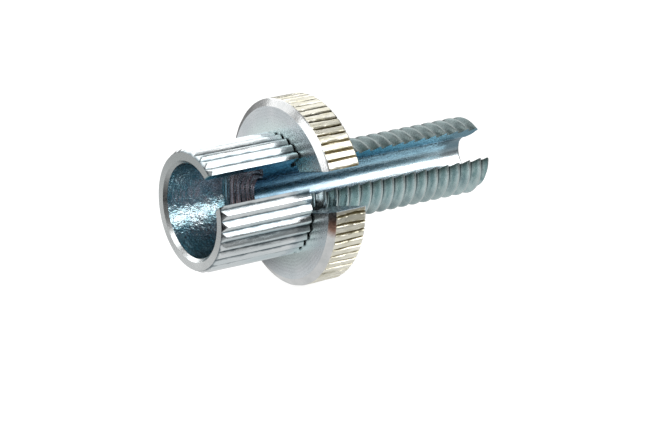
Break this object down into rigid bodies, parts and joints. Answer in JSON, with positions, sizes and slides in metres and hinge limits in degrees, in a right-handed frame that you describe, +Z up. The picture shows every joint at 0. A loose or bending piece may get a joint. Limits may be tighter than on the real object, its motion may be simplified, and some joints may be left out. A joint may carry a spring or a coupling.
{
  "type": "cable adjuster",
  "caption": "Slotted cable adjuster: hollow threaded screw with a knurled cup head that takes a cable housing, and a knurled slotted lock nut.",
  "frame": {"origin": "on the screw's axis, in the plane of the lock nut's rear face, which clamps against the lever's threaded boss", "axes": "+X along the screw from the cup's mouth to the threaded end, +Z up; the screw's slot opens 35.5 degrees above -Y"},
  "size_m": [0.0249, 0.014, 0.014],
  "materials": {
    "screw_zinc": "bright zinc-plated steel with a cool blue tone, turned and knurled",
    "nut_zinc": "bright zinc-plated steel, satin end faces and a warm-toned knurl"
  },
  "bodies": {
    "adjuster": {"adjuster_screw": "screw_zinc"},
    "nut": {"lock_nut": "nut_zinc"}
  },
  "joints": [
    {"name": "nut_turn", "type": "hinge", "parent": "adjuster", "child": "nut", "pos_m": [0, 0, 0], "axis": [1, 0, 0], "continuous": true}
  ]
}
